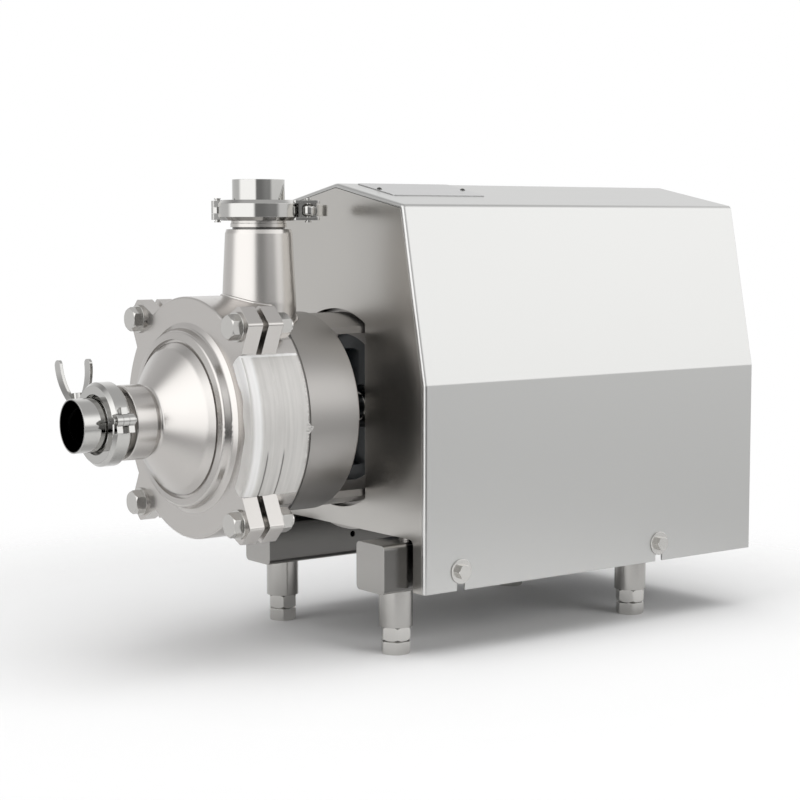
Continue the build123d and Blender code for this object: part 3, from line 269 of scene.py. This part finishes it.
def film_material():
    """Thin clear film that shows the metal under it. A painted highlight lightens it where it bends over the
    front shoulder, laps onto the front face and meets its top edge, where it is also more opaque; painted shade
    darkens its two creases, partly standing for the dark joint seen through it.
    """
    material, tree, shader = new_material("film")
    place = tree.add("ShaderNodeTexCoord").outputs["Object"]
    along_x = tree.dot(place, (1, 0, 0))
    height = tree.dot(place, (0, 0, 1))
    streaks = tree.noise(tree.stretched((150, 8, 8)), 1.0, 3.0, 0.55)
    fine = tree.noise(place, 420.0, 3.0, 0.6)
    # Painted highlight: the bend over the front shoulder, the lap on the front face and the top edge are painted
    # near white and made more opaque.
    shoulder = tree.product(tree.ramp(along_x, COVER_FACE_X - 0.001, COVER_FACE_X + 0.002),
                            tree.ramp(along_x, COVER_FACE_X + 0.013, COVER_FACE_X + 0.007))
    lap = tree.product(tree.ramp(along_x, COVER_FACE_X - 0.0005, COVER_FACE_X - 0.0012),
                       tree.ramp(height, AXIS_Z + 0.015, AXIS_Z + 0.045))
    top = tree.ramp(height, FILM_TOP_Z - 0.0022, FILM_TOP_Z - 0.0012)
    highlight_strips = tree.math("ADD", tree.math("ADD", tree.math("MULTIPLY", shoulder, 0.95), lap), top, clamp=True)
    # Painted shade: thin dark lines along the two fold lines in the lower part of the film, partly the shade in
    # the creases and partly the dark joint seen through the film.
    below = tree.ramp(height, AXIS_Z - 0.018, AXIS_Z - 0.030)
    fold_shade_and_joint = 0.0
    for line in FILM_FOLDS:
        side = tree.math("ABSOLUTE", tree.math("SUBTRACT", along_x, line))
        fold_shade_and_joint = tree.math("ADD", tree.ramp(side, 0.0012, 0.0003), fold_shade_and_joint)
    fold_shade_and_joint = tree.math("MULTIPLY", fold_shade_and_joint, below)
    colour = tree.tint(streaks, (0.84, 0.825, 0.80), (0.90, 0.885, 0.86))
    colour = tree.tint(highlight_strips, colour, (0.97, 0.965, 0.955))
    tree.put(shader.inputs["Base Color"], tree.tint(fold_shade_and_joint, colour, (0.22, 0.21, 0.20)))
    tree.put(shader.inputs["Roughness"], tree.ramp(streaks, 0.3, 0.7, 0.14, 0.24))
    cover = tree.math("ADD", tree.ramp(streaks, 0.35, 0.65, 0.50, 0.60), tree.math("MULTIPLY", highlight_strips, 0.40))
    cover = tree.math("ADD", cover, tree.math("MULTIPLY", fold_shade_and_joint, 0.2), clamp=True)
    tree.put(shader.inputs["Alpha"], cover)
    relief = tree.add("ShaderNodeBump", {"Strength": 0.1, "Distance": 0.0003, "Height": fine})
    tree.put(shader.inputs["Normal"], relief.outputs[0])
    return material


OWN_MATERIALS = {"side_rails": "rail_metal", "nameplate_rivets": "rivet_metal"}


def paint_nodes(materials):
    slots = {row["node"]: row["material_slot"] for row in frame["record"]["subparts"]}
    for name, thing in nodes.items():
        thing.data.materials.clear()
        thing.data.materials.append(materials[OWN_MATERIALS.get(name, slots[name])])


# Pieces that the frame doesn't hold

def add_piece(name, data, material, body="base"):
    piece = bpy.data.objects.new(name, data)
    scene.collection.objects.link(piece)
    data.materials.append(material)
    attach(piece, body)
    return piece


def grid_mesh(name, rows):
    """A smooth sheet of quads through rows of points."""
    mesh = bpy.data.meshes.new(name)
    wide = len(rows[0])
    faces = [(i * wide + j, i * wide + j + 1, (i + 1) * wide + j + 1, (i + 1) * wide + j)
             for i in range(len(rows) - 1) for j in range(wide - 1)]
    mesh.from_pydata([point for row in rows for point in row], [], faces)
    mesh.polygons.foreach_set("use_smooth", [True] * len(faces))
    return mesh


def along(points, share):
    """The point at a share of the way along a run of (x, radius) points."""
    spans = [math.dist(a, b) for a, b in zip(points, points[1:])]
    left = share * sum(spans)
    for (a, b), span in zip(zip(points, points[1:]), spans):
        if left <= span:
            break
        left -= span
    part = min(left / span, 1.0)
    return [a[i] + (b[i] - a[i]) * part for i in (0, 1)]


def film_wrinkle(x, angle):
    """How far the film stands off its smooth shape, in metres."""
    round_folds = noise.noise(Vector((x * 120, angle * 1.1, 3.1)))
    cross_folds = noise.noise(Vector((x * 40, angle * 5.0, 7.7)))
    height = 0.0006 * round_folds + 0.0002 * cross_folds
    for line in FILM_FOLDS:
        reach = min(max(-angle / 0.25 - 0.6, 0.0), 1.0)
        height -= 0.0007 * reach * math.exp(-((x - line) / 0.0011) ** 2)
    return max(height, -0.0006)


def add_film(material):
    """The clear protective film round the near side of the two rims, lapped over the front face."""
    front, rear = COVER_FACE_X, RIM_REAR_X
    rows = []
    for i in range(FILM_ROWS + 1):
        angle = FILM_ANGLE * (2 * i / FILM_ROWS - 1)
        lap = 0.013 + 0.003 * noise.noise(Vector((angle * 5.0, 0.4, 0.0))) + 0.005 * max(angle, 0.0)
        tail = 0.006 * math.exp(-((angle + 0.03) / 0.03) ** 2) - 0.0056
        shape = [(front - 0.0008, RIM_R - lap), (front - 0.0022, RIM_R - 0.4 * lap),
                 (front - 0.0016, RIM_R + 0.0002), (front + 0.002, RIM_R + 0.0018),
                 (front + 0.009, RIM_R + 0.0010), (rear - 0.009, RIM_R + 0.0008), (rear + tail, RIM_R + 0.0009)]
        row = []
        for j in range(FILM_COLUMNS + 1):
            x, radius = along(shape, j / FILM_COLUMNS)
            edge = FILM_ANGLE * (1 + 0.012 * noise.noise(Vector((x * 90, 2.0, 0.0))))
            turn = angle * edge / FILM_ANGLE
            lift = film_wrinkle(x, angle) * min(max((rear - 0.004 - x) / 0.010, 0.0), 1.0)
            if radius < RIM_R:
                x -= abs(lift)
            else:
                radius += lift
            row.append((x, -radius * math.cos(turn), AXIS_Z + radius * math.sin(turn)))
        rows.append(row)
    piece = add_piece("protective_film", grid_mesh("protective_film", rows), material)
    skin = piece.modifiers.new("thickness", "SOLIDIFY")
    skin.thickness = 0.00012
    skin.offset = 0.0


def add_weld(material):
    """The weld bead where the discharge pipe meets the casing's rim and its rear chamber."""
    middle_x, middle_y = PIPE_PLACE
    corner = math.acos((RIM_REAR_X - middle_x) / PIPE_FOOT_R)
    arcs = ((corner, 2 * math.pi - corner, RIM_R), (-corner, corner, REAR_CHAMBER_R))
    points = []
    for start, end, radius in arcs:
        for i in range(41):
            turn = start + (end - start) * i / 40
            x = middle_x + PIPE_FOOT_R * math.cos(turn)
            y = middle_y + PIPE_FOOT_R * math.sin(turn)
            points.append((x, y, AXIS_Z + math.sqrt(radius ** 2 - y ** 2)))
    curve = bpy.data.curves.new("weld_bead", "CURVE")
    curve.dimensions = "3D"
    curve.bevel_depth = 0.0016
    curve.bevel_resolution = 4
    spline = curve.splines.new("POLY")
    spline.points.add(len(points) - 1)
    for point, place in zip(spline.points, points):
        point.co = (*place, 1.0)
        point.radius = 1.0 + 0.25 * noise.noise(Vector(place) * 260)
    spline.use_cyclic_u = True
    spline.use_smooth = True
    add_piece("weld_bead", curve, material)


# Light, floor and surroundings

def make_world():
    """A soft studio: white all round, with darker room behind the camera and under the horizon."""
    world = bpy.data.worlds.new("studio")
    world.use_nodes = True
    scene.world = world
    tree = Tree(world.node_tree)
    direction = tree.add("ShaderNodeTexCoord").outputs["Generated"]
    height = tree.dot(direction, (0, 0, 1))
    towards = tree.dot(direction, (-math.cos(CAMERA_YAW), -math.sin(CAMERA_YAW), 0))
    right = tree.dot(direction, (math.sin(CAMERA_YAW), -math.cos(CAMERA_YAW), 0))
    up = tree.ramp(height, -0.05, 0.20)
    low = tree.ramp(height, 0.75, 0.45)
    right_box = tree.product(up, low, tree.ramp(right, 0.2, 0.7))
    left_box = tree.product(tree.ramp(right, -0.06, -0.22), tree.ramp(towards, -0.08, 0.25),
                            tree.ramp(height, -0.40, -0.15), tree.ramp(height, 0.95, 0.65))
    dark_front = tree.product(tree.ramp(towards, 0.35, 0.60), tree.ramp(right, -0.18, -0.04),
                              tree.ramp(height, 0.60, 0.30), tree.ramp(height, -0.70, -0.25))
    back_left = tree.product(tree.ramp(right, -0.30, -0.70), tree.ramp(towards, 0.10, -0.20), up)
    sky = 0.82
    for part, share in ((up, 0.18), (right_box, 0.62), (left_box, 0.85), (dark_front, -0.60),
                        (back_left, -0.35), (tree.ramp(height, 0.5, 0.85), -0.35),
                        (tree.ramp(height, -0.12, -0.40), -0.38)):
        sky = tree.math("ADD", tree.math("MULTIPLY", part, share), sky)
    paths = tree.add("ShaderNodeLightPath").outputs
    mirrored = tree.math("ADD", paths["Is Glossy Ray"], paths["Is Transmission Ray"], clamp=True)
    level = tree.add("ShaderNodeMix", {0: mirrored, 2: 0.42, 3: sky}, data_type="FLOAT").outputs[0]
    level = tree.add("ShaderNodeMix", {0: paths["Is Camera Ray"], 2: level, 3: 1.0}, data_type="FLOAT").outputs[0]
    back = tree.add("ShaderNodeBackground", {"Color": (1, 1, 1, 1), "Strength": level})
    output = tree.add("ShaderNodeOutputWorld")
    tree.tree.links.new(back.outputs[0], output.inputs[0])


FLOOR_R = 0.85
FLOOR_FADE = 0.40


def make_floor():
    """A round white floor that fades out, so that it has no edge against the white surroundings."""
    mesh = bpy.data.meshes.new("floor")
    form = bmesh.new()
    bmesh.ops.create_circle(form, cap_ends=True, segments=96, radius=FLOOR_R)
    form.to_mesh(mesh)
    form.free()
    floor = bpy.data.objects.new("floor", mesh)
    scene.collection.objects.link(floor)
    material = bpy.data.materials.new("floor")
    material.use_nodes = True
    tree = Tree(material.node_tree)
    place = tree.add("ShaderNodeTexCoord").outputs["Object"]
    radius = tree.add("ShaderNodeVectorMath", {0: place}, operation="LENGTH").outputs["Value"]
    fade = tree.ramp(radius, FLOOR_FADE, FLOOR_R * 0.98)
    white = tree.add("ShaderNodeBsdfDiffuse", {"Color": (0.96, 0.96, 0.96, 1)})
    clear = tree.add("ShaderNodeBsdfTransparent")
    mixed = tree.add("ShaderNodeMixShader", {0: fade, 1: white.outputs[0], 2: clear.outputs[0]})
    output = tree.add("ShaderNodeOutputMaterial")
    tree.tree.links.new(mixed.outputs[0], output.inputs[0])
    mesh.materials.append(material)


def add_lamp(name, place, target, width, height, power):
    data = bpy.data.lights.new(name, "AREA")
    data.shape = "RECTANGLE"
    data.size = width
    data.size_y = height
    data.energy = power
    lamp = bpy.data.objects.new(name, data)
    lamp.location = place
    lamp.rotation_euler = (Vector(target) - Vector(place)).to_track_quat("-Z", "Y").to_euler()
    lamp.visible_glossy = False
    scene.collection.objects.link(lamp)


def add_lamps():
    middle = (0, 0, 0.25)
    add_lamp("overhead", (0.2, -0.4, 3.2), middle, 3.0, 3.0, 55)
    add_lamp("left_box", (-3.0, 0.2, 1.6), middle, 1.6, 2.4, 28)
    add_lamp("right_box", (1.2, -3.2, 1.5), middle, 2.4, 1.6, 34)


scene.view_settings.view_transform = "Standard"
add_camera()
materials = make_materials()
paint_nodes(materials)
add_film(materials["film"])
add_weld(materials["weld"])
make_world()
make_floor()
add_lamps()
